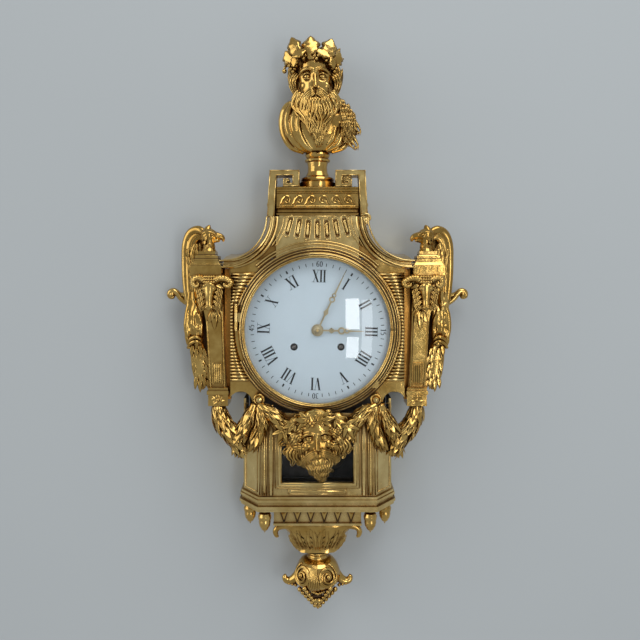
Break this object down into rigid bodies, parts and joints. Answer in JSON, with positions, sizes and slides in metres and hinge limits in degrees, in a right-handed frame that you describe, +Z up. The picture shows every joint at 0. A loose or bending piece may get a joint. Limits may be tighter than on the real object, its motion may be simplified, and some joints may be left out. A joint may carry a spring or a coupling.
{
  "type": "cartel wall clock",
  "caption": "Gilt bronze cartel wall clock with a bust, eagle pilasters, laurel swags, a mask over the pendulum window and a white enamel dial.",
  "frame": {"origin": "centre of the hanging hole at the back frame's wall face", "axes": "+Z up, +X to the viewer's right when facing the dial, -Y out of the wall towards the viewer"},
  "size_m": [0.434, 0.1182, 0.8045],
  "materials": {
    "gilt_bronze": "mercury gilding, matt with worn highlights",
    "burnished_gilt": "burnished gilding",
    "enamel": "white enamel with black numerals",
    "glass": "clear",
    "hand_gilt": "pierced gilt brass",
    "movement_brass": "polished",
    "steel": "polished",
    "dark_iron": "blackened",
    "bell_metal": "polished",
    "bob_metal": "greyed"
  },
  "bodies": {
    "case": {"back_frame": "dark_iron", "case_body": "gilt_bronze", "fluted_frieze": "gilt_bronze", "shoulder_scrolls": "burnished_gilt", "plinth": "gilt_bronze", "greek_key_left": "burnished_gilt", "greek_key_right": "burnished_gilt", "socle": "gilt_bronze", "bust": "gilt_bronze", "tie_rods": "steel", "reeded_panels": "burnished_gilt", "pilaster_left": "gilt_bronze", "pilaster_right": "gilt_bronze", "eagle_left": "gilt_bronze", "eagle_right": "gilt_bronze", "ram_heads": "gilt_bronze", "side_scrolls": "gilt_bronze", "laurel_drops": "gilt_bronze", "swag_left": "gilt_bronze", "swag_right": "gilt_bronze", "garland_bosses": "burnished_gilt", "mask": "gilt_bronze", "lower_case": "gilt_bronze", "window_frame": "burnished_gilt", "window_glass": "glass", "base_moulding": "burnished_gilt", "acorn_finials": "gilt_bronze", "spear_frieze": "gilt_bronze", "acanthus_bracket": "gilt_bronze", "pendant": "gilt_bronze", "berry_cluster": "gilt_bronze", "case_screws": "dark_iron", "hinge_pin": "burnished_gilt", "dial": "enamel", "front_plate": "movement_brass", "back_plate": "movement_brass", "plate_pillars": "movement_brass", "bell": "bell_metal", "bell_stand": "steel"},
    "bezel": {"bezel_ring": "burnished_gilt", "bezel_glass": "glass", "bezel_catch": "burnished_gilt"},
    "minute": {"minute_hand": "hand_gilt", "hand_collet": "hand_gilt", "centre_wheel": "movement_brass"},
    "hour": {"hour_hand": "hand_gilt"},
    "motion": {"minute_wheel": "movement_brass"},
    "middle": {"middle_wheel": "movement_brass"},
    "going_drum": {"going_barrel": "movement_brass"},
    "third": {"third_wheel": "movement_brass"},
    "escape": {"escape_wheel": "movement_brass"},
    "going_winder": {"going_arbor": "steel"},
    "strike_winder": {"strike_arbor": "steel"},
    "strike_drum": {"strike_barrel": "movement_brass"},
    "strike_pin_wheel": {"strike_wheel": "movement_brass"},
    "fly": {"strike_fly": "movement_brass"},
    "pallets": {"anchor": "steel"},
    "pendulum": {"pendulum_rod": "movement_brass", "pendulum_bob": "bob_metal"},
    "striker": {"hammer": "steel"}
  },
  "joints": [
    {"name": "bezel_hinge", "type": "hinge", "parent": "case", "child": "bezel", "pos_m": [-0.1099, -0.084, -0.132], "axis": [0, 0, -1], "range_deg": [0, 110]},
    {"name": "minute_turn", "type": "hinge", "parent": "case", "child": "minute", "pos_m": [0, -0.06, -0.15], "axis": [0, 1, 0], "continuous": true},
    {"name": "hour_turn", "type": "hinge", "parent": "case", "child": "hour", "pos_m": [0, -0.07, -0.15], "axis": [0, 1, 0], "continuous": true},
    {"name": "motion_turn", "type": "hinge", "parent": "case", "child": "motion", "pos_m": [0, -0.061, -0.1668], "axis": [0, 1, 0], "continuous": true},
    {"name": "middle_turn", "type": "hinge", "parent": "case", "child": "middle", "pos_m": [0.02447, -0.04, -0.14474], "axis": [0, 1, 0], "continuous": true},
    {"name": "going_drum_turn", "type": "hinge", "parent": "case", "child": "going_drum", "pos_m": [0.032, -0.033, -0.173], "axis": [0, 1, 0], "continuous": true},
    {"name": "third_turn", "type": "hinge", "parent": "case", "child": "third", "pos_m": [-0.00374, -0.04, -0.12756], "axis": [0, 1, 0], "continuous": true},
    {"name": "escape_turn", "type": "hinge", "parent": "case", "child": "escape", "pos_m": [0, -0.03, -0.10867], "axis": [0, 1, 0], "continuous": true},
    {"name": "going_winding", "type": "hinge", "parent": "case", "child": "going_winder", "pos_m": [0.032, -0.06, -0.173], "axis": [0, 1, 0], "range_deg": [0, 1440]},
    {"name": "strike_winding", "type": "hinge", "parent": "case", "child": "strike_winder", "pos_m": [-0.032, -0.06, -0.173], "axis": [0, 1, 0], "range_deg": [0, 1440]},
    {"name": "strike_drum_turn", "type": "hinge", "parent": "case", "child": "strike_drum", "pos_m": [-0.032, -0.033, -0.173], "axis": [0, 1, 0], "continuous": true},
    {"name": "strike_wheel_turn", "type": "hinge", "parent": "case", "child": "strike_pin_wheel", "pos_m": [-0.02447, -0.04, -0.14474], "axis": [0, 1, 0], "continuous": true},
    {"name": "fly_turn", "type": "hinge", "parent": "case", "child": "fly", "pos_m": [-0.03897, -0.04, -0.13636], "axis": [0, 1, 0], "continuous": true},
    {"name": "pendulum_swing", "type": "hinge", "parent": "case", "child": "pendulum", "pos_m": [0, -0.0102, -0.091], "axis": [0, 1, 0], "range_deg": [0, 9.2]},
    {"name": "pallet_rock", "type": "hinge", "parent": "case", "child": "pallets", "pos_m": [0, -0.03, -0.091], "axis": [0, 1, 0], "range_deg": [0, 9.2]},
    {"name": "hammer_lift", "type": "hinge", "parent": "case", "child": "striker", "pos_m": [-0.03998, -0.035, -0.10003], "axis": [0, -1, 0], "range_deg": [0, 14], "stiffness_Nm_per_rad": 0.01}
  ],
  "couplings": [
    {"joint": "hour_turn", "follows": "minute_turn", "ratio": 0.083333},
    {"joint": "motion_turn", "follows": "minute_turn", "ratio": -0.33333},
    {"joint": "middle_turn", "follows": "minute_turn", "ratio": -0.16667},
    {"joint": "going_drum_turn", "follows": "minute_turn", "ratio": 0.025641},
    {"joint": "third_turn", "follows": "minute_turn", "ratio": -12},
    {"joint": "escape_turn", "follows": "minute_turn", "ratio": 120},
    {"joint": "strike_wheel_turn", "follows": "strike_drum_turn", "ratio": -6.5},
    {"joint": "fly_turn", "follows": "strike_drum_turn", "ratio": 55.714},
    {"joint": "pallet_rock", "follows": "pendulum_swing", "ratio": 1}
  ]
}
